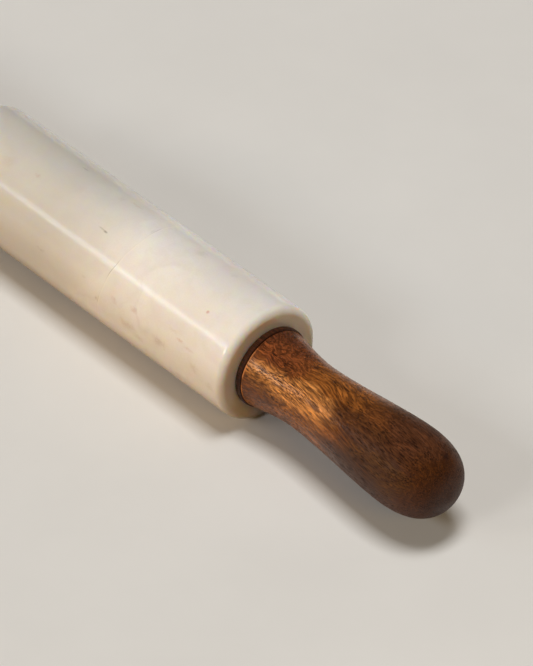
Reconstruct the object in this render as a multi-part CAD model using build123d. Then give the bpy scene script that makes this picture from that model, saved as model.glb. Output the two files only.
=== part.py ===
from build123d import *
import os

# Rolling pin with a stone barrel that turns on a steel rod between two fixed wooden handles.
# Millimetres. The pin lies along X, +Z is up, and the origin is on the table under the middle
# of the barrel. Every piece is drawn along X through the origin, for the +X end, and is then
# lifted to the height of the pin's axis; the pieces of the other end are the same ones turned
# half round about Z.

# Stone barrel
barrel_length = 212.0
barrel_radius = 30.0
barrel_edge_round = 3.8

# Gap between the end face of the stone and the wooden collar that turns past it
face_gap = 0.4

# Steel rod: a plain journal between two shoulders, and a thread at each end
journal_radius = 5.0
thread_radius = 4.0
rod_end_chamfer = 0.8
rod_past_insert = 3.0

# Flanged nylon bush, glued into each end of the stone
bush_length = 20.0
bush_radius = 8.0
bush_flange_radius = 12.0
bush_flange_thickness = 3.0
bush_edge_chamfer = 0.5
bush_running_clearance = 0.05
bush_glue_gap = 0.05

# Steel thrust washer between the flange of the bush and the collar
washer_radius = 10.0
washer_thickness = 1.5
end_float = 0.25
thread_clearance = 0.2

# Dark wooden collar at the foot of the handle
collar_overhang = 0.75
collar_thickness = 3.1
collar_edge_round = 0.6

# Thin hexagon nut that locks the washer and the collar against the shoulder of the rod
nut_across_flats = 13.0
nut_height = 5.0
nut_chamfer_height = 0.6
nut_chamfer_width = 1.2
nut_sides = 6
thread_fit_gap = 0.02

# Pocket in the foot of the handle around the nut
nut_pocket_radius = 8.6
nut_pocket_end_gap = 0.3

# Brass threaded insert glued into the handle
insert_radius = 6.5
insert_length = 25.0
insert_groove_depth = 0.6
insert_groove_width = 1.5
insert_groove_count = 5
insert_glue_gap = 0.05
insert_entry_chamfer = 0.6

# Drilled hole in the handle past the insert
drill_clearance = 0.5
drill_past_rod = 6.0
drill_point_slope_share = 0.6

# Wooden handle, measured from its foot
handle_length = 121.1
handle_foot_radius = 19.95
handle_foot_round = 0.5
handle_neck_radius = 16.7
handle_neck_from_foot = 27.6
handle_swell_radius = 21.0
handle_swell_from_foot = 92.1

# How far each curve of the handle's outline holds its direction, as shares of its own span
foot_slope_share = 0.10
foot_hold_share = 0.24
neck_foot_side_share = 0.41
neck_swell_side_share = 0.285
swell_neck_side_share = 0.245
dome_side_share = 0.78
dome_tip_share = 0.55

# Cutting tools run this far past the faces that they open
overrun = 1.0

# Places along the pin for the +X end, from the middle of the barrel outwards
barrel_face = barrel_length / 2
collar_start = barrel_face + face_gap
handle_foot = collar_start + collar_thickness
washer_start = collar_start - washer_thickness
flange_face = washer_start - end_float
pocket_floor = flange_face - bush_flange_thickness
nut_pocket_end = handle_foot + nut_height + nut_pocket_end_gap
insert_end = nut_pocket_end + insert_length
rod_end = insert_end + rod_past_insert
drill_end = rod_end + drill_past_rod

# Radii that follow from the fits and from the handle
collar_radius = handle_foot_radius + collar_overhang
bush_bore_radius = journal_radius + bush_running_clearance
bush_seat_radius = bush_radius + bush_glue_gap
flange_pocket_radius = bush_flange_radius + bush_glue_gap
clear_bore_radius = thread_radius + thread_clearance
tapped_radius = thread_radius + thread_fit_gap
drill_radius = thread_radius + drill_clearance
insert_seat_radius = insert_radius + insert_glue_gap


def turned(*outline):
    """A solid turned about the X axis from a closed outline of (place, radius) edges."""
    return revolve(make_face(outline), axis=Axis.X)


def turned_points(points):
    """A turned solid whose outline has straight sides only."""
    return turned(Polyline(*points, close=True))


def ring(start, end, inner, outer):
    """A plain turned ring from start to end along the pin."""
    return turned_points([(start, inner), (start, outer), (end, outer), (end, inner)])


def marble_barrel():
    """Stone cylinder with rounded ends, a bore right through and a pocket for each bush."""
    stone = turned_points([
        (-barrel_face, 0),
        (-barrel_face, barrel_radius),
        (barrel_face, barrel_radius),
        (barrel_face, 0),
    ])
    stone = fillet(stone.edges().filter_by(GeomType.CIRCLE), barrel_edge_round)
    mouth = barrel_face + overrun
    cutter = turned_points([
        (-mouth, 0),
        (-mouth, flange_pocket_radius),
        (-pocket_floor, flange_pocket_radius),
        (-pocket_floor, bush_seat_radius),
        (pocket_floor, bush_seat_radius),
        (pocket_floor, flange_pocket_radius),
        (mouth, flange_pocket_radius),
        (mouth, 0),
    ])
    return stone - cutter


def axle_rod():
    """Steel rod with a journal between its shoulders and a chamfered thread at each end."""
    chamfer_start = rod_end - rod_end_chamfer
    tip_radius = thread_radius - rod_end_chamfer
    return turned_points([
        (-rod_end, 0),
        (-rod_end, tip_radius),
        (-chamfer_start, thread_radius),
        (-washer_start, thread_radius),
        (-washer_start, journal_radius),
        (washer_start, journal_radius),
        (washer_start, thread_radius),
        (chamfer_start, thread_radius),
        (rod_end, tip_radius),
        (rod_end, 0),
    ])


def bush():
    """Flanged bush: the flange sits in its pocket and the sleeve runs into the bore."""
    sleeve_end = flange_face - bush_length
    return turned_points([
        (flange_face, bush_bore_radius),
        (flange_face, bush_flange_radius - bush_edge_chamfer),
        (flange_face - bush_edge_chamfer, bush_flange_radius),
        (pocket_floor, bush_flange_radius),
        (pocket_floor, bush_radius),
        (sleeve_end + bush_edge_chamfer, bush_radius),
        (sleeve_end, bush_radius - bush_edge_chamfer),
        (sleeve_end, bush_bore_radius),
    ])


def thrust_washer():
    """Flat washer that rests on the shoulder of the rod and stands just proud of the stone."""
    return ring(washer_start, collar_start, clear_bore_radius, washer_radius)


def collar():
    """Dark wooden ring with rounded outer edges between the washer and the handle."""
    outer = turned_points([
        (collar_start, 0),
        (collar_start, collar_radius),
        (handle_foot, collar_radius),
        (handle_foot, 0),
    ])
    outer = fillet(outer.edges().filter_by(GeomType.CIRCLE), collar_edge_round)
    hole = ring(collar_start - overrun, handle_foot + overrun, 0, clear_bore_radius)
    return outer - hole


def lock_nut():
    """Hexagon nut with both rims of its corners chamfered, against the face of the collar."""
    end = handle_foot + nut_height
    hexagon = RegularPolygon(nut_across_flats / 2, nut_sides, major_radius=False)
    blank = extrude(Plane.YZ.offset(handle_foot) * hexagon, nut_height)
    flat_radius = nut_across_flats / 2
    corner_radius = flat_radius + nut_chamfer_width
    envelope = turned_points([
        (handle_foot, tapped_radius),
        (handle_foot, flat_radius),
        (handle_foot + nut_chamfer_height, corner_radius),
        (end - nut_chamfer_height, corner_radius),
        (end, flat_radius),
        (end, tapped_radius),
    ])
    return blank & envelope


def thread_insert():
    """Brass bush with glue grooves around it and a chamfered mouth towards the nut."""
    body = turned_points([
        (nut_pocket_end, tapped_radius + insert_entry_chamfer),
        (nut_pocket_end, insert_radius),
        (insert_end, insert_radius),
        (insert_end, tapped_radius),
        (nut_pocket_end + insert_entry_chamfer, tapped_radius),
    ])
    pitch = insert_length / (insert_groove_count + 1)
    for index in range(insert_groove_count):
        middle = nut_pocket_end + pitch * (index + 1)
        body -= ring(
            middle - insert_groove_width / 2,
            middle + insert_groove_width / 2,
            insert_radius - insert_groove_depth,
            insert_radius + overrun,
        )
    return body


def handle_outline():
    """Closed half outline of the handle: rounded foot, waisted neck, swell and domed tip."""
    foot_edge = handle_foot + handle_foot_round
    neck = handle_foot + handle_neck_from_foot
    swell = handle_foot + handle_swell_from_foot
    tip = handle_foot + handle_length
    foot_span = neck - foot_edge
    swell_span = swell - neck
    dome_span = tip - swell
    foot_lead = foot_span * foot_hold_share

    foot_face = Line((handle_foot, 0), (handle_foot, handle_foot_radius - handle_foot_round))
    foot_round = RadiusArc(
        (handle_foot, handle_foot_radius - handle_foot_round),
        (foot_edge, handle_foot_radius),
        handle_foot_round,
    )
    foot_to_neck = Bezier(
        (foot_edge, handle_foot_radius),
        (foot_edge + foot_lead, handle_foot_radius - foot_lead * foot_slope_share),
        (neck - foot_span * neck_foot_side_share, handle_neck_radius),
        (neck, handle_neck_radius),
    )
    neck_to_swell = Bezier(
        (neck, handle_neck_radius),
        (neck + swell_span * neck_swell_side_share, handle_neck_radius),
        (swell - swell_span * swell_neck_side_share, handle_swell_radius),
        (swell, handle_swell_radius),
    )
    dome = Bezier(
        (swell, handle_swell_radius),
        (swell + dome_span * dome_side_share, handle_swell_radius),
        (tip, handle_swell_radius * dome_tip_share),
        (tip, 0),
    )
    axis_line = Line((tip, 0), (handle_foot, 0))
    return foot_face, foot_round, foot_to_neck, neck_to_swell, dome, axis_line


def handle():
    """Turned wooden handle, bored from its foot for the nut, the insert and the rod."""
    mouth = handle_foot - overrun
    point_end = drill_end + drill_radius * drill_point_slope_share
    borings = turned_points([
        (mouth, 0),
        (mouth, nut_pocket_radius),
        (nut_pocket_end, nut_pocket_radius),
        (nut_pocket_end, insert_seat_radius),
        (insert_end, insert_seat_radius),
        (insert_end, drill_radius),
        (drill_end, drill_radius),
        (point_end, 0),
    ])
    return turned(*handle_outline()) - borings


# Pieces on the axis, and the pieces that both ends have
whole_pieces = {
    "marble_barrel": marble_barrel(),
    "axle_rod": axle_rod(),
}
end_pieces = {
    "bush": bush(),
    "thrust_washer": thrust_washer(),
    "collar": collar(),
    "lock_nut": lock_nut(),
    "thread_insert": thread_insert(),
    "handle": handle(),
}

lift = Pos(0, 0, barrel_radius)
half_turn = Rot(0, 0, 180)

pieces = {name: lift * solid for name, solid in whole_pieces.items()}
for name, solid in end_pieces.items():
    pieces[f"{name}_right"] = lift * solid
    pieces[f"{name}_left"] = lift * half_turn * solid

os.makedirs("parts", exist_ok=True)
for name, solid in pieces.items():
    export_step(solid, f"parts/{name}.step")
    print(name, round(solid.volume), "mm3")
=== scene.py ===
import bpy
import math
from mathutils import Matrix, Vector


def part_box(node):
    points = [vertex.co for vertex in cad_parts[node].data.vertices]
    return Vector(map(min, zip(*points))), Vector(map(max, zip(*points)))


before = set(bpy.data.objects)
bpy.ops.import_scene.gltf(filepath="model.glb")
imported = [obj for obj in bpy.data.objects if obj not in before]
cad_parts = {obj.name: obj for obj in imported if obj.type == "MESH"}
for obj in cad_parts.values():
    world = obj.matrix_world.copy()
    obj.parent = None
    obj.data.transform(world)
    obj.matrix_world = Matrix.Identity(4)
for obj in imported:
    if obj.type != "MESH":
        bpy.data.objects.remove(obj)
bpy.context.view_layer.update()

# Sizes read from the frame, in metres
stone_low, stone_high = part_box("marble_barrel")
handle_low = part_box("handle_right")[0]
BARREL_RADIUS = (stone_high.z - stone_low.z) / 2
AXIS_HEIGHT = stone_low.z + BARREL_RADIUS
BARREL_FACE = stone_high.x
HANDLE_FOOT = handle_low.x

# Places in the finishes are in millimetres; the heights of bumps and the stone's glow are in metres
MM = 0.001
AXIS_MM = AXIS_HEIGHT / MM
RADIUS_MM = BARREL_RADIUS / MM
FACE_MM = BARREL_FACE / MM
FOOT_MM = HANDLE_FOOT / MM

# Camera, fitted to the photograph's 533 x 666 frame
LENS_MM = 300.0
SENSOR_MM = 36.0
CAMERA_AZIMUTH = 48.94
CAMERA_ELEVATION = 38.68
CAMERA_DISTANCE = 2.576
CAMERA_CLIP_END = 50.0
IMAGE_WIDTH = 533
IMAGE_HEIGHT = 666
FACE_CENTRE_PIXEL = (268.0, 364.8)

# Lamps: name, degrees round the pin's axis from the top, degrees back towards -X, metres away,
# size along the pin, size across it, watts, colour, seen in gloss
LAMPS = (
    ("strip", -57.1, 27.5, 4.0, 2.07, 0.475, 13.2, (0.70, 0.87, 1.0), True),
    ("glint", -64.0, 20.0, 4.0, 0.9, 0.475, 12.4, (1.0, 0.88, 0.74), True),
    ("side", -57.0, -4.0, 4.0, 0.93, 0.93, 25.5, (1.0, 1.0, 1.0), False),
    ("top", 0.0, -4.0, 4.0, 1.2, 1.6, 97.0, (0.98, 0.99, 1.0), False),
    ("front", -20.0, -55.0, 4.0, 1.0, 1.0, 14.0, (1.0, 0.60, 0.08), False),
    ("low", -88.5, 20.0, 4.0, 2.2, 0.18, 56.0, (1.0, 0.68, 0.30), False),
    ("back", 82.0, 5.0, 4.0, 1.5, 0.8, 25.0, (1.0, 1.0, 1.0), False),
)
WORLD_COLOUR = (1.0, 0.86, 0.70, 1.0)
WORLD_STRENGTH = 0.06


def srgb(red, green, blue):
    """A colour written in 0 to 255 screen values, as the linear colour that shaders take."""
    def linear(value):
        share = value / 255
        return share / 12.92 if share <= 0.04045 else ((share + 0.055) / 1.055) ** 2.4
    return (linear(red), linear(green), linear(blue), 1.0)


BLACK = (0.0, 0.0, 0.0, 1.0)


class Graph:
    """A material and the few node shapes that the finishes below are made of."""

    def __init__(self, name):
        self.material = bpy.data.materials.new(name)
        self.material.use_nodes = True
        self.tree = self.material.node_tree
        self.tree.nodes.clear()
        self.place = self.add("ShaderNodeTexCoord").outputs["Object"]

    def add(self, kind, inputs=None, **settings):
        node = self.tree.nodes.new(kind)
        for key, value in settings.items():
            setattr(node, key, value)
        for socket, value in (inputs or {}).items():
            self.feed(node.inputs[socket], value)
        return node

    def feed(self, socket, value):
        if isinstance(value, bpy.types.NodeSocket):
            self.tree.links.new(value, socket)
        else:
            socket.default_value = value

    def math(self, operation, a, b=0.0):
        return self.add("ShaderNodeMath", {0: a, 1: b}, operation=operation).outputs[0]

    def vector(self, operation, a, b):
        node = self.add("ShaderNodeVectorMath", {0: a, 1: b}, operation=operation)
        return node.outputs["Vector"]

    def scaled(self, vector, amount):
        node = self.add("ShaderNodeVectorMath", {0: vector, "Scale": amount}, operation="SCALE")
        return node.outputs["Vector"]

    def drawn_out(self, vector, along):
        """The place with its X made smaller, so that a pattern read there runs long along X."""
        return self.vector("MULTIPLY", vector, (along, 1.0, 1.0))

    def length(self, vector):
        return self.add("ShaderNodeVectorMath", {0: vector}, operation="LENGTH").outputs["Value"]

    def reach(self, place, centre, half_sizes):
        """Distance from the centre, counted as 1 on the ellipsoid of these half sizes."""
        offset = self.vector("SUBTRACT", place, centre)
        shares = tuple(1 / size for size in half_sizes)
        return self.length(self.vector("MULTIPLY", offset, shares))

    def parts(self, vector):
        node = self.add("ShaderNodeSeparateXYZ", {0: vector})
        return node.outputs[0], node.outputs[1], node.outputs[2]

    def joined(self, x, y, z):
        return self.add("ShaderNodeCombineXYZ", {0: x, 1: y, 2: z}).outputs[0]

    def noise(self, vector, scale, detail=3.0, roughness=0.5):
        inputs = {"Vector": vector, "Scale": scale, "Detail": detail, "Roughness": roughness}
        return self.add("ShaderNodeTexNoise", inputs, noise_dimensions="3D").outputs[0]

    def noise_vector(self, vector, scale, detail=2.0):
        """Three noises as one vector, each from about -0.5 to 0.5."""
        inputs = {"Vector": vector, "Scale": scale, "Detail": detail}
        colour = self.add("ShaderNodeTexNoise", inputs, noise_dimensions="3D").outputs[1]
        return self.vector("SUBTRACT", colour, (0.5, 0.5, 0.5))

    def step(self, value, low, high, start=0.0, end=1.0):
        """Smooth change from start to end as value goes from low to high."""
        inputs = {0: value, 1: low, 2: high, 3: start, 4: end}
        node = self.add("ShaderNodeMapRange", inputs, interpolation_type="SMOOTHSTEP")
        return node.outputs[0]

    def fall(self, value, low, high, start=1.0):
        """Smooth fall from start to nothing as value goes from low to high."""
        return self.step(value, low, high, start, 0.0)

    def mix(self, factor, a, b, blend="MIX"):
        node = self.add("ShaderNodeMix", data_type="RGBA", blend_type=blend)
        self.feed(node.inputs[0], factor)
        self.feed(node.inputs[6], a)
        self.feed(node.inputs[7], b)
        return node.outputs[2]

    def bump(self, height, distance, normal=None):
        inputs = {"Height": height, "Distance": distance, "Strength": 1.0}
        if normal is not None:
            inputs["Normal"] = normal
        return self.add("ShaderNodeBump", inputs).outputs[0]

    def finish(self, **sockets):
        """Closes the material with one Principled shader; names use _ for a space."""
        shader = self.add("ShaderNodeBsdfPrincipled")
        for key, value in sockets.items():
            self.feed(shader.inputs[key.replace("_", " ")], value)
        out = self.add("ShaderNodeOutputMaterial")
        self.tree.links.new(shader.outputs[0], out.inputs[0])
        return self.material


def on_barrel(out_from_face, round_deg):
    """Point on the stone, in mm: how far out from its +X face, and degrees from the top."""
    turn = math.radians(round_deg)
    return Vector((
        FACE_MM + out_from_face,
        math.sin(turn) * RADIUS_MM,
        AXIS_MM + math.cos(turn) * RADIUS_MM,
    ))


def in_handle(out_from_foot, round_deg, radius):
    """Point in the +X handle, in mm from its foot, degrees from the top and mm from the axis."""
    turn = math.radians(round_deg)
    return (FOOT_MM + out_from_foot, math.sin(turn) * radius, math.cos(turn) * radius)


# Patterns of the stone: scale per mm, detail and, where it isn't 0.5, roughness. In the finishes,
# the two levels that follow a pattern in step or fall are those between which it takes effect.
STONE_DRIFT = (0.035, 3.0)
CLOUDS = (0.018, 3.0)
MOTTLE = (0.09, 5.0, 0.62)
CRYSTALS = (1.3, 2.0, 0.6)
BAND_FIELD = (0.022, 2.0)
BAND_PATCHES = (0.018, 2.0)
VEIN_SWAY = (0.09, 3.0)
MARK_EDGE = (0.42, 4.0)
SPECKLES = (0.9, 3.0, 0.65)
POLISH = (0.09, 4.0, 0.6)
WAVES = (0.06, 2.0)

# How far the drift moves the patterns, and how far from its field's middle value a band reaches
STONE_DRIFT_MM = 26.0
BAND_WIDTH = 0.035

# Tones of the stone and how strongly each shows
STONE_DULL = srgb(238, 232, 225)
STONE_CLEAR = srgb(246, 241, 235)
STONE_MOTTLE = srgb(230, 219, 206)
MOTTLE_STRENGTH = 0.30
STONE_CRYSTAL = srgb(214, 203, 188)
CRYSTAL_STRENGTH = 0.10
STONE_BAND = srgb(206, 194, 180)
BAND_STRENGTH = 0.20
STONE_IOR = 1.6
STONE_POLISHED = 0.15
STONE_DULLED = 0.22
WAVE_HEIGHT = 0.00005
CRYSTAL_HEIGHT = 0.000006

# Light that soaks into the stone: its share, how far red, green and blue go, and the depth
STONE_GLOW = 0.8
STONE_GLOW_REACH = (1.0, 0.70, 0.28)
STONE_GLOW_DEPTH = 0.006

# Hairline vein: a plane across the stone, in mm from the +X face, tilted about Y. Its dark bits
# are at (degrees from the top, half length, strength).
VEIN_FROM_FACE = 87.4
VEIN_TILT = 0.215
VEIN_WANDER = 1.7
VEIN_LIGHT = srgb(250, 242, 230)
VEIN_LIGHT_STRENGTH = 0.35
VEIN_SHADE = srgb(150, 130, 108)
VEIN_SHADE_STRENGTH = 0.05
VEIN_SHADE_OFFSET = 0.6
VEIN_DARK = srgb(140, 118, 96)
VEIN_DARK_BITS = ((-51.0, 7.0, 0.36), (3.0, 5.0, 0.20), (-86.0, 3.0, 0.24))

# Darker, slightly cooler stone on the -X side of the vein, mostly painted shade of a soft shadow
# over that end: full and gone at these distances along X from it, in mm, pushed to and fro by the
# clouds
STONE_COOL_AND_SHADE = srgb(193, 188, 177)
COOL_AND_SHADE_STRENGTH = 0.60
COOL_AND_SHADE_FULL = -60.0
COOL_AND_SHADE_GONE = 10.0
COOL_AND_SHADE_DRIFT_MM = 40.0

# Marks in the stone: (mm from the +X face, degrees from the top, half length along X,
# half width, colour, strength). Marks smaller than SMALL_MARK keep a clean edge.
SMALL_MARK = 1.0
RAGGED_MM = 4.5
MARK_FADE_END = 1.35
MARK_STRENGTH = 0.8
STONE_MARKS = (
    (-100.4, -27.6, 1.5, 0.60, (84, 72, 54), 0.75),
    (-103.2, -27.0, 2.6, 0.45, (112, 100, 80), 0.50),
    (-23.9, -32.4, 1.05, 0.95, (198, 100, 60), 0.80),
    (-63.0, -71.5, 2.6, 1.5, (186, 128, 86), 0.42),
    (-77.0, -75.0, 2.2, 1.8, (196, 156, 118), 0.34),
    (-30.0, -68.5, 2.6, 1.1, (204, 142, 82), 0.52),
    (-23.5, -71.0, 3.6, 0.8, (186, 150, 116), 0.34),
    (-36.0, -64.5, 3.0, 1.2, (200, 176, 150), 0.30),
    (-43.0, -84.0, 5.4, 2.4, (168, 138, 108), 0.40),
    (-66.0, -91.0, 6.4, 2.6, (182, 146, 112), 0.36),
    (-58.0, -97.0, 4.0, 2.0, (182, 148, 116), 0.28),
    (-18.0, -85.0, 3.6, 2.6, (182, 152, 122), 0.30),
    (-7.0, -93.0, 3.0, 2.4, (170, 146, 120), 0.26),
    (-154.0, -22.0, 2.0, 1.0, (186, 136, 112), 0.40),
    (-173.0, -27.0, 4.6, 3.4, (200, 172, 150), 0.32),
    (-104.0, 16.5, 4.0, 1.0, (198, 150, 120), 0.38),
    (-112.0, 12.5, 2.0, 2.2, (180, 160, 144), 0.28),
    (-142.0, 16.5, 2.6, 0.7, (128, 124, 112), 0.42),
    (-55.5, 14.5, 3.6, 2.6, (184, 172, 168), 0.36),
    (-33.0, 15.0, 2.4, 2.0, (190, 178, 170), 0.26),
    (-82.6, 0.5, 0.7, 2.0, (170, 164, 158), 0.34),
    (-89.0, -86.0, 0.9, 1.1, (138, 118, 92), 0.40),
    (-130.0, -77.5, 3.0, 1.0, (136, 118, 94), 0.34),
    (-99.0, -74.0, 1.6, 0.8, (150, 130, 104), 0.26),
)


def marble():
    """Polished warm white stone: faint clouds, a hairline vein and small soft marks."""
    g = Graph("marble")
    p = g.scaled(g.place, 1 / MM)
    x, _, z = g.parts(p)
    warped = g.vector("ADD", p, g.scaled(g.noise_vector(p, *STONE_DRIFT), STONE_DRIFT_MM))

    cloud = g.noise(warped, *CLOUDS)
    mottle = g.noise(warped, *MOTTLE)
    crystal = g.noise(p, *CRYSTALS)
    colour = g.mix(g.step(cloud, 0.34, 0.68), STONE_DULL, STONE_CLEAR)
    colour = g.mix(g.step(mottle, 0.44, 0.74, end=MOTTLE_STRENGTH), colour, STONE_MOTTLE)
    colour = g.mix(g.step(crystal, 0.35, 0.75, end=CRYSTAL_STRENGTH), colour, STONE_CRYSTAL)

    # Broad faint grey bands where a slow field crosses its middle value
    field = g.noise(warped, *BAND_FIELD)
    ridge = g.math("ABSOLUTE", g.math("SUBTRACT", field, 0.5))
    patch = g.step(g.noise(p, *BAND_PATCHES), 0.46, 0.66)
    band = g.math("MULTIPLY", g.fall(ridge, 0.0, BAND_WIDTH), patch)
    colour = g.mix(g.math("MULTIPLY", band, BAND_STRENGTH), colour, STONE_BAND)

    # The -X side of the hairline vein is darker: painted shade of a soft shadow over that end, with
    # a slightly cooler tone
    wander_x = g.parts(g.scaled(g.noise_vector(p, *VEIN_SWAY), VEIN_WANDER))[0]
    plane_x = FACE_MM - VEIN_FROM_FACE - VEIN_TILT * AXIS_MM
    level = g.math("ADD", g.math("MULTIPLY", z, VEIN_TILT), plane_x)
    across = g.math("ADD", g.math("SUBTRACT", x, level), wander_x)
    pushed = g.math("MULTIPLY", g.math("SUBTRACT", cloud, 0.5), COOL_AND_SHADE_DRIFT_MM)
    cool_and_shaded_side = g.fall(g.math("ADD", across, pushed), COOL_AND_SHADE_FULL, COOL_AND_SHADE_GONE)
    colour = g.mix(g.math("MULTIPLY", cool_and_shaded_side, COOL_AND_SHADE_STRENGTH), colour, STONE_COOL_AND_SHADE)

    # The vein is a light line with a dark one beside it, which is stronger in a few places
    light_line = g.fall(g.math("ABSOLUTE", across), 0.05, 0.80)
    colour = g.mix(g.math("MULTIPLY", light_line, VEIN_LIGHT_STRENGTH), colour, VEIN_LIGHT)
    beside = g.math("ABSOLUTE", g.math("ADD", across, VEIN_SHADE_OFFSET))
    dark_line = g.fall(beside, 0.05, 0.4)
    colour = g.mix(g.math("MULTIPLY", dark_line, VEIN_SHADE_STRENGTH), colour, VEIN_SHADE)
    for round_deg, half_length, strength in VEIN_DARK_BITS:
        centre = on_barrel(-VEIN_FROM_FACE, round_deg)
        offset = g.vector("MULTIPLY", g.vector("SUBTRACT", p, centre), (0.0, 1.0, 1.0))
        near = g.fall(g.length(offset), half_length * 0.2, half_length, strength)
        colour = g.mix(g.math("MULTIPLY", dark_line, near), colour, VEIN_DARK)

    # Single marks, each an ellipsoid with a speckled edge, and a ragged one if it is large
    ragged = g.vector("ADD", p, g.scaled(g.noise_vector(p, *MARK_EDGE), RAGGED_MM))
    speckle = g.step(g.noise(p, *SPECKLES), 0.30, 0.62, 0.45, 1.0)
    for out_from_face, round_deg, half_length, half_width, tone, strength in STONE_MARKS:
        place = p if min(half_length, half_width) < SMALL_MARK else ragged
        centre = on_barrel(out_from_face, round_deg)
        distance = g.reach(place, centre, (half_length, half_width, half_width))
        amount = g.fall(distance, 0.0, MARK_FADE_END, strength * MARK_STRENGTH)
        colour = g.mix(g.math("MULTIPLY", amount, speckle), colour, srgb(*tone))

    polish = g.noise(p, *POLISH)
    surface = g.bump(g.noise(p, *WAVES), WAVE_HEIGHT)
    surface = g.bump(crystal, CRYSTAL_HEIGHT, surface)
    return g.finish(
        Base_Color=colour,
        Roughness=g.step(polish, 0.3, 0.75, STONE_POLISHED, STONE_DULLED),
        Normal=surface,
        IOR=STONE_IOR,
        Subsurface_Weight=STONE_GLOW,
        Subsurface_Radius=STONE_GLOW_REACH,
        Subsurface_Scale=STONE_GLOW_DEPTH,
    )


# Patterns of the wood: scale per mm, detail and, where it isn't 0.5, roughness
SLOW = (0.034, 2.0)
QUICK = (0.16, 2.0)
CURL = (0.10, 1.0)
ZONES = (0.085, 3.0, 0.55)
WOBBLE = (0.13, 4.0)
STREAKS = (0.50, 3.0, 0.6)
FIBRES = (1.25, 2.0, 0.6)
HAIRS = (2.4, 1.0)
RIPPLES = (0.085, 1.0)
RIPPLE_BREAKS = (0.55, 2.0)
PORE_DRIFT = (0.4, 2.0)
PORE_CROWDS = (0.22, 2.0)
# The next pattern sets where the painted highlight on the foot's edge is stronger
EDGE_GLINT_PATCHES = (0.25, 2.0)
SHEEN = (0.12, 4.0, 0.6)
HOLLOWS = (0.10, 2.0)

# Pores: cells per mm along and across the grain, the share of them that holds a pore, and the
# colour channel of the cells that draws which. A pore is solid from the middle of its cell out
# to PORE_CORE and gone at PORE_EDGE.
LARGE_PORES = (0.12, 1.8, 0.55, 0)
SMALL_PORES = (0.20, 2.7, 0.75, 1)
SMALL_PORE_STRENGTH = 0.85
PORE_CORE = 0.26
PORE_EDGE = 0.42

# How far the grain, the pores and the patches stray from their place, in mm
SLOW_SWAY = 9.0
QUICK_SWAY = 0.6
CURL_SWAY = 14.0
PORE_SWAY = 0.5
WOBBLE_MM = 12.0
TIP_DRIFT_MM = 40.0

# Ripples where the grain dives: the sine of this many radians per unit of their field
RIPPLE_RADIANS = 75.0

# How strongly the darker layers of the grain show, and how much the light fibres are lifted
STREAK_STRENGTH = 0.50
FIBRE_STRENGTH = 0.62
HAIR_STRENGTH = 0.45
RIPPLE_STRENGTH = 0.70
LIGHT_FIBRE_STRENGTH = 0.60
LIGHT_FIBRE_LIFT = (1.7, 1.6, 1.5, 1.0)
PORE_STRENGTH = 0.90
PORE_SHADE = (0.12, 0.09, 0.08, 1.0)

# Painted highlight on the sharp edge at the foot, where it catches the light: full and gone at
# these distances in mm from the foot
EDGE_GLINT_FULL = 0.5
EDGE_GLINT_END = 1.3
EDGE_GLINT_STRENGTH = 0.85

# The wood is duller in its pores, and gets duller towards the swell, in mm from the foot
WOOD_POLISHED = 0.22
WOOD_DULLED = 0.32
PORE_DULLNESS = 0.25
DULL_FROM = 55.0
DULL_FULL = 90.0
DULL_MORE = 0.22
HOLLOW_DEPTH = 0.00030
PORE_DEPTH = 0.00010
FIBRE_HEIGHT_SHARE = 0.30
WOOD_IOR = 1.40


def pores(g, grain, along, across, filled_share, channel):
    """Long thin pores, one in each of the drawn-out cells that the draw fills."""
    inputs = {"Vector": g.vector("MULTIPLY", grain, (along, across, across)), "Scale": 1.0}
    cells = g.add("ShaderNodeTexVoronoi", inputs, feature="F1")
    draw = g.parts(cells.outputs["Color"])[channel]
    filled = g.fall(draw, filled_share, filled_share + 0.05)
    core = g.fall(cells.outputs["Distance"], PORE_CORE, PORE_EDGE)
    return g.math("MULTIPLY", core, filled)


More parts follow.
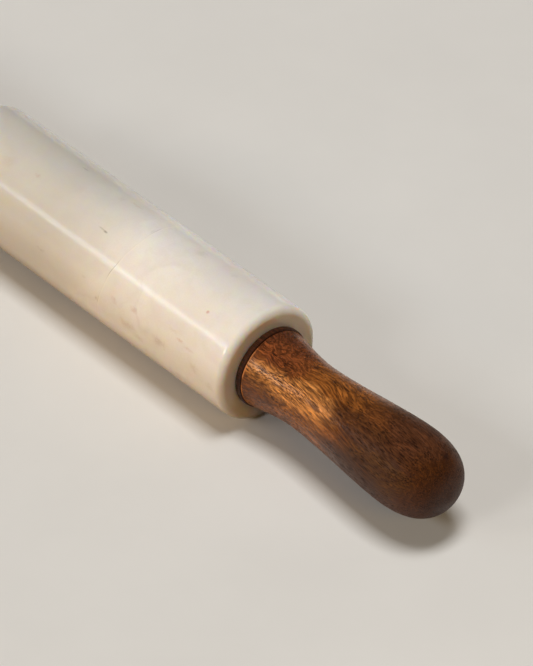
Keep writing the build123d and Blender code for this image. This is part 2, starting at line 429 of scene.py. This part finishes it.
def wood(name, tones, tip, foot_x=FOOT_MM, lean=0.0, figures_and_painted_light=(), curls=(), turns=(), seed=0.0):
    """Open-pored hardwood with its grain along X. Places are in mm from the pin's axis.

    tones are the light, middle and dark of the grain and the painted highlight on the edge at the
    foot.
    tip is the darker tone towards the far end, partly the wood's own tone and partly painted
    fall-off of the light: (tone, where it starts, where it is full, strength).
    foot_x is where the foot is; the tip and the painted edge highlight are placed from there.
    lean turns the grain a little round the piece on its way along it.
    figures are patches of another tone, some of them painted light and shade: (centre, half sizes,
    tone, strength).
    curls are places where the grain dives and swirls: (centre, half sizes).
    turns are places where it leans further: (centre, half sizes, slope).
    """
    light, middle, dark, edge_glint = tones
    g = Graph(name)
    p = g.vector("SUBTRACT", g.scaled(g.place, 1 / MM), (0.0, 0.0, AXIS_MM))
    own = g.vector("ADD", p, (seed, seed * 0.37, seed * 0.71))
    out = g.math("SUBTRACT", g.math("ABSOLUTE", g.parts(p)[0]), foot_x)

    # The grain wanders slowly along the piece, and curls up where a branch left the tree
    slow = g.noise_vector(g.drawn_out(own, 0.5), *SLOW)
    quick = g.noise_vector(g.drawn_out(own, 0.4), *QUICK)
    grain = g.vector("ADD", own, g.vector("MULTIPLY", slow, (0.0, SLOW_SWAY, SLOW_SWAY)))
    grain = g.vector("ADD", grain, g.vector("MULTIPLY", quick, (0.0, QUICK_SWAY, QUICK_SWAY)))
    leaning = g.vector("MULTIPLY", g.joined(out, out, out), (0.0, lean, lean * 0.8))
    grain = g.vector("ADD", grain, leaning)
    curl = g.scaled(g.noise_vector(own, *CURL), CURL_SWAY)
    curled = 0.0
    for centre, half_sizes in curls:
        curled = g.fall(g.reach(p, centre, half_sizes), 0.35, 1.15)
        grain = g.vector("ADD", grain, g.scaled(curl, curled))
    for centre, half_sizes, slope in turns:
        amount = g.fall(g.reach(p, centre, half_sizes), 0.2, 1.2, slope)
        shift = g.math("MULTIPLY", g.parts(g.vector("SUBTRACT", p, centre))[0], amount)
        grain = g.vector("ADD", grain, g.joined(0.0, shift, 0.0))

    # Tone: broad zones, then the darker tip, partly painted fall-off of the light, then single
    # patches, some of them painted light and shade
    broad = g.noise(g.drawn_out(grain, 0.16), *ZONES)
    colour = g.mix(g.step(broad, 0.34, 0.66), light, middle)
    tip_tone, tip_start, tip_full, tip_strength = tip
    drift = g.math("MULTIPLY", g.math("SUBTRACT", broad, 0.5), TIP_DRIFT_MM)
    towards_tip = g.step(g.math("ADD", out, drift), tip_start, tip_full, end=tip_strength)
    colour = g.mix(towards_tip, colour, tip_tone)
    wobble = g.vector("ADD", p, g.scaled(g.noise_vector(p, *WOBBLE), WOBBLE_MM))
    for centre, half_sizes, tone, strength in figures_and_painted_light:
        distance = g.reach(wobble, centre, half_sizes)
        colour = g.mix(g.fall(distance, 0.55, 1.15, strength), colour, tone)

    # Grain lines, from broad streaks down to fibres
    streak = g.noise(g.drawn_out(grain, 0.035), *STREAKS)
    fibre = g.noise(g.drawn_out(grain, 0.07), *FIBRES)
    hair = g.noise(g.drawn_out(grain, 0.05), *HAIRS)
    colour = g.mix(g.step(streak, 0.50, 0.72, end=STREAK_STRENGTH), colour, dark)
    colour = g.mix(g.step(fibre, 0.49, 0.58, end=FIBRE_STRENGTH), colour, dark)
    colour = g.mix(g.step(hair, 0.52, 0.62, end=HAIR_STRENGTH), colour, dark)

    # Where the grain dives it shows as fine broken ripples
    ripple = g.math("SINE", g.math("MULTIPLY", g.noise(own, *RIPPLES), RIPPLE_RADIANS))
    crests = g.step(ripple, -0.1, 0.8, end=RIPPLE_STRENGTH)
    broken = g.math("MULTIPLY", g.step(g.noise(own, *RIPPLE_BREAKS), 0.36, 0.52), curled)
    colour = g.mix(g.math("MULTIPLY", crests, broken), colour, dark)

    # The light fibres catch more of the light
    bright = g.fall(fibre, 0.34, 0.46, LIGHT_FIBRE_STRENGTH)
    colour = g.mix(bright, colour, g.mix(1.0, colour, LIGHT_FIBRE_LIFT, "MULTIPLY"))

    # Pores, as open dark dashes along the grain, thicker in some places
    loose = g.vector("ADD", grain, g.scaled(g.noise_vector(own, *PORE_DRIFT), PORE_SWAY))
    large = pores(g, loose, *LARGE_PORES)
    small = g.math("MULTIPLY", pores(g, loose, *SMALL_PORES), SMALL_PORE_STRENGTH)
    crowd = g.step(g.noise(g.drawn_out(grain, 0.12), *PORE_CROWDS), 0.34, 0.58, 0.30, 1.0)
    open_pores = g.math("MULTIPLY", g.math("MAXIMUM", large, small), crowd)
    pore_tone = g.mix(1.0, colour, PORE_SHADE, "MULTIPLY")
    colour = g.mix(g.math("MULTIPLY", open_pores, PORE_STRENGTH), colour, pore_tone)

    # A painted highlight lightens the sharp edge at the foot, more in some places than in others
    patchy = g.step(g.noise(own, *EDGE_GLINT_PATCHES), 0.35, 0.60, 0.15, 1.0)
    uncurled = g.math("SUBTRACT", 1.0, curled)
    edge_glint_amount = g.math("MULTIPLY", g.fall(out, EDGE_GLINT_FULL, EDGE_GLINT_END, EDGE_GLINT_STRENGTH), uncurled)
    colour = g.mix(g.math("MULTIPLY", edge_glint_amount, patchy), colour, edge_glint)

    sheen = g.step(g.noise(own, *SHEEN), 0.3, 0.7, WOOD_POLISHED, WOOD_DULLED)
    roughness = g.math("ADD", sheen, g.math("MULTIPLY", open_pores, PORE_DULLNESS))
    roughness = g.math("ADD", roughness, g.step(out, DULL_FROM, DULL_FULL, end=DULL_MORE))
    height = g.math("SUBTRACT", g.math("MULTIPLY", fibre, FIBRE_HEIGHT_SHARE), open_pores)
    surface = g.bump(g.noise(own, *HOLLOWS), HOLLOW_DEPTH)
    surface = g.bump(height, PORE_DEPTH, surface)
    return g.finish(
        Base_Color=colour,
        Roughness=roughness,
        Normal=surface,
        IOR=WOOD_IOR,
    )


def metal(name, tone, low_rough, high_rough, rings):
    """Turned metal: fine tool marks, with a slow change of tone and polish.

    rings is how fine the tool marks are along X, Y and Z, as noise scales per mm.
    """
    g = Graph(name)
    p = g.scaled(g.place, 1 / MM)
    lines = g.noise(g.vector("MULTIPLY", p, rings), 1.0, 3.0, 0.6)
    stain = g.noise(p, 0.15, 4.0, 0.6)
    darker = tuple(channel * 0.72 for channel in tone[:3]) + (1.0,)
    marked = g.math("ADD", lines, g.math("MULTIPLY", stain, 0.4))
    return g.finish(
        Base_Color=g.mix(g.step(stain, 0.4, 0.8, end=0.6), tone, darker),
        Roughness=g.step(marked, 0.4, 1.0, low_rough, high_rough),
        Normal=g.bump(lines, 0.00002),
        Metallic=1.0,
    )


def nylon():
    """Natural nylon: milky, with faint flow marks from moulding."""
    g = Graph("nylon")
    p = g.scaled(g.place, 1 / MM)
    flow = g.noise(g.drawn_out(p, 0.4), 0.5, 4.0, 0.6)
    return g.finish(
        Base_Color=g.mix(g.step(flow, 0.4, 0.75), srgb(236, 233, 222), srgb(224, 219, 204)),
        Roughness=g.step(flow, 0.3, 0.7, 0.38, 0.5),
        Normal=g.bump(g.noise(p, 2.5), 0.00001),
        Subsurface_Weight=0.2,
        Subsurface_Radius=(1.0, 0.9, 0.7),
        Subsurface_Scale=0.002,
    )


def dress(finishes):
    """Gives each CAD node the finish of its kind, with both ends alike unless named apart."""
    for node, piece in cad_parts.items():
        kind = node.removesuffix("_right").removesuffix("_left")
        finish = finishes.get(node) or finishes[kind]
        piece.data.materials.clear()
        piece.data.materials.append(finish)


# Floor: its size in metres, how it looks, the colour of the light that it throws back at the
# pin, and where it starts to look evenly pale and fully does, in metres from the pin's middle
FLOOR_SIZE = 60.0
FLOOR_PALE = srgb(226, 223, 218)
FLOOR_PAPER = srgb(229, 226, 221)
FLOOR_BOUNCE = srgb(104, 70, 42)
FLOOR_EVEN_FROM = 0.55
FLOOR_EVEN_FULL = 2.4
FLOOR_EVEN_GLOW = 0.88


def floor():
    """Plain pale floor that takes the pin's shadow. It throws less light back than it shows.

    Away from the pin, rays that show the floor see it evenly pale, however far the lamps are.
    """
    g = Graph("floor")
    bpy.ops.mesh.primitive_plane_add(size=FLOOR_SIZE, location=(0.0, 0.0, 0.0))
    plane = bpy.context.object
    plane.name = "floor"
    paper = g.noise(g.place, 9.0, 4.0, 0.6)
    shown = g.mix(g.step(paper, 0.3, 0.7), FLOOR_PALE, FLOOR_PAPER)
    path = g.add("ShaderNodeLightPath")
    seen = g.math("MAXIMUM", path.outputs["Is Camera Ray"], path.outputs["Is Glossy Ray"])
    seen = g.math("MAXIMUM", seen, path.outputs["Is Transmission Ray"])
    far = g.step(g.length(g.place), FLOOR_EVEN_FROM, FLOOR_EVEN_FULL)
    even = g.math("MULTIPLY", seen, far)
    plane.data.materials.append(g.finish(
        Base_Color=g.mix(even, g.mix(seen, FLOOR_BOUNCE, shown), BLACK),
        Roughness=0.85,
        IOR=1.0,
        Emission_Color=FLOOR_PALE,
        Emission_Strength=g.math("MULTIPLY", even, FLOOR_EVEN_GLOW),
    ))


def area_lamp(name, round_deg, back_deg, distance, along, across, power, colour, glossy):
    """Soft rectangle aimed at the stone's +X face, with its long way set by the pin's axis."""
    data = bpy.data.lights.new(name, "AREA")
    data.shape = "RECTANGLE"
    data.size = along
    data.size_y = across
    data.energy = power
    data.color = colour
    turn, back = math.radians(round_deg), math.radians(back_deg)
    towards = Vector((
        -math.sin(back),
        math.cos(back) * math.sin(turn),
        math.cos(back) * math.cos(turn),
    ))
    side = towards.cross(Vector((1.0, 0.0, 0.0))).normalized()
    lengthways = side.cross(towards)
    lamp = bpy.data.objects.new(name, data)
    bpy.context.scene.collection.objects.link(lamp)
    facing = Matrix((lengthways, side, towards)).transposed().to_4x4()
    facing.translation = Vector((BARREL_FACE, 0.0, AXIS_HEIGHT)) + towards * distance
    lamp.matrix_world = facing
    lamp.visible_camera = False
    lamp.visible_glossy = glossy


def lights():
    """Seven soft lamps and a dim warm world.

    The strip and the glint make the bright line on the stone; the others don't show in gloss.
    """
    for lamp in LAMPS:
        area_lamp(*lamp)
    world = bpy.data.worlds.new("studio")
    bpy.context.scene.world = world
    world.use_nodes = True
    background = world.node_tree.nodes["Background"]
    background.inputs[0].default_value = WORLD_COLOUR
    background.inputs[1].default_value = WORLD_STRENGTH


def camera():
    """Long lens at the photograph's angle; the +X face centre falls on its pixel."""
    data = bpy.data.cameras.new("camera")
    data.lens = LENS_MM
    data.sensor_width = SENSOR_MM
    data.clip_end = CAMERA_CLIP_END
    piece = bpy.data.objects.new("camera", data)
    bpy.context.scene.collection.objects.link(piece)
    azimuth, elevation = math.radians(CAMERA_AZIMUTH), math.radians(CAMERA_ELEVATION)
    back = Vector((
        math.sin(azimuth) * math.cos(elevation),
        -math.cos(azimuth) * math.cos(elevation),
        math.sin(elevation),
    ))
    right = Vector((math.cos(azimuth), math.sin(azimuth), 0.0))
    up = back.cross(right)
    focal = LENS_MM / SENSOR_MM * IMAGE_HEIGHT
    offset_x = (FACE_CENTRE_PIXEL[0] - IMAGE_WIDTH / 2) / focal * CAMERA_DISTANCE
    offset_y = (IMAGE_HEIGHT / 2 - FACE_CENTRE_PIXEL[1]) / focal * CAMERA_DISTANCE
    face_centre = Vector((BARREL_FACE, 0.0, AXIS_HEIGHT))
    piece.location = face_centre + back * CAMERA_DISTANCE - right * offset_x - up * offset_y
    piece.rotation_mode = "QUATERNION"
    piece.rotation_quaternion = (-back).to_track_quat("-Z", "Y")
    bpy.context.scene.camera = piece


# What the photo shows of the near handle: a golden band along the waist, a reddish swirl at the
# top of the foot, dark zones from the middle on, a lighter patch on the swell and a dark spot
# near the tip. Some patches are painted light and shade, each marked below
RIGHT_FIGURES_AND_PAINTED_LIGHT = (
    (in_handle(32.0, -80.0, 17.0), (28.0, 9.0, 9.0), srgb(160, 100, 40), 0.75),
    # These two golden patches along the lamps' bright line are a painted highlight, partly lighter
    # wood
    (in_handle(14.0, -59.0, 18.0), (20.0, 8.0, 8.0), srgb(220, 150, 82), 0.90),
    (in_handle(40.0, -47.0, 17.0), (22.0, 8.5, 8.5), srgb(214, 144, 78), 0.90),
    (in_handle(8.0, -84.0, 19.0), (17.0, 8.0, 8.0), srgb(100, 56, 20), 0.70),
    (in_handle(2.0, 0.0, 20.0), (31.0, 18.0, 13.0), srgb(136, 73, 40), 0.90),
    # Painted shadow of the stone's end on the top of the foot
    (in_handle(1.0, 16.0, 20.0), (7.0, 12.0, 8.0), srgb(98, 54, 32), 0.75),
    (in_handle(92.0, -70.0, 21.0), (26.0, 10.0, 10.0), srgb(82, 52, 16), 0.65),
    # Darker underside from the waist on: painted shade, partly darker wood
    (in_handle(76.0, -98.0, 20.0), (28.0, 11.0, 11.0), srgb(64, 36, 12), 0.75),
    (in_handle(72.0, -38.0, 20.0), (26.0, 9.0, 9.0), srgb(80, 50, 28), 0.70),
    (in_handle(60.0, -36.0, 18.0), (14.0, 3.5, 3.5), srgb(70, 44, 30), 0.30),
    (in_handle(77.0, -8.0, 20.0), (11.0, 6.0, 6.0), srgb(122, 72, 38), 0.55),
    # Lighter top of the swell: painted light from above, partly lighter wood
    (in_handle(98.0, 4.0, 20.0), (18.0, 14.0, 12.0), srgb(100, 62, 42), 0.60),
    (in_handle(111.0, 14.0, 14.0), (4.0, 3.5, 3.5), srgb(44, 22, 16), 0.85),
)
RIGHT_CURLS = (
    (in_handle(4.0, 2.0, 20.0), (32.0, 18.0, 14.0)),
)
RIGHT_TURNS = (
    (in_handle(52.0, 2.0, 18.0), (24.0, 15.0, 15.0), 0.30),
)

camera()
floor()
lights()

finishes = {
    "marble_barrel": marble(),
    "handle_right": wood(
        "wood_right",
        tones=(srgb(168, 101, 43), srgb(136, 80, 34), srgb(62, 31, 13), srgb(222, 142, 84)),
        # Darker towards the tip: partly the wood's tone, partly painted fall-off of the light
        tip=(srgb(70, 38, 15), 42.0, 88.0, 0.92),
        lean=0.10,
        figures_and_painted_light=RIGHT_FIGURES_AND_PAINTED_LIGHT,
        curls=RIGHT_CURLS,
        turns=RIGHT_TURNS,
    ),
    "handle_left": wood(
        "wood_left",
        tones=(srgb(160, 97, 43), srgb(128, 75, 34), srgb(60, 31, 14), srgb(212, 136, 82)),
        tip=(srgb(84, 46, 20), 52.0, 110.0, 0.70),
        lean=-0.07,
        seed=57.0,
    ),
    # foot_x lies far off here, so the collar has no painted edge highlight and is as dull all over
    # as a tip
    "collar": wood(
        "dark_wood",
        tones=(srgb(80, 43, 25), srgb(60, 32, 19), srgb(32, 17, 10), srgb(80, 43, 25)),
        tip=(srgb(46, 24, 14), 40.0, 90.0, 0.0),
        foot_x=-FOOT_MM,
        seed=23.0,
    ),
    "axle_rod": metal("rod_steel", (0.62, 0.62, 0.64, 1.0), 0.22, 0.38, (3.0, 0.2, 0.2)),
    "thrust_washer": metal("washer_steel", (0.66, 0.66, 0.68, 1.0), 0.25, 0.4, (0.4, 2.0, 2.0)),
    "lock_nut": metal("plated_nut", (0.72, 0.73, 0.75, 1.0), 0.18, 0.3, (1.0, 1.0, 1.0)),
    "thread_insert": metal("brass", (0.72, 0.50, 0.20, 1.0), 0.2, 0.34, (3.0, 0.2, 0.2)),
    "bush": nylon(),
}
dress(finishes)

bpy.context.scene.view_settings.view_transform = "Standard"
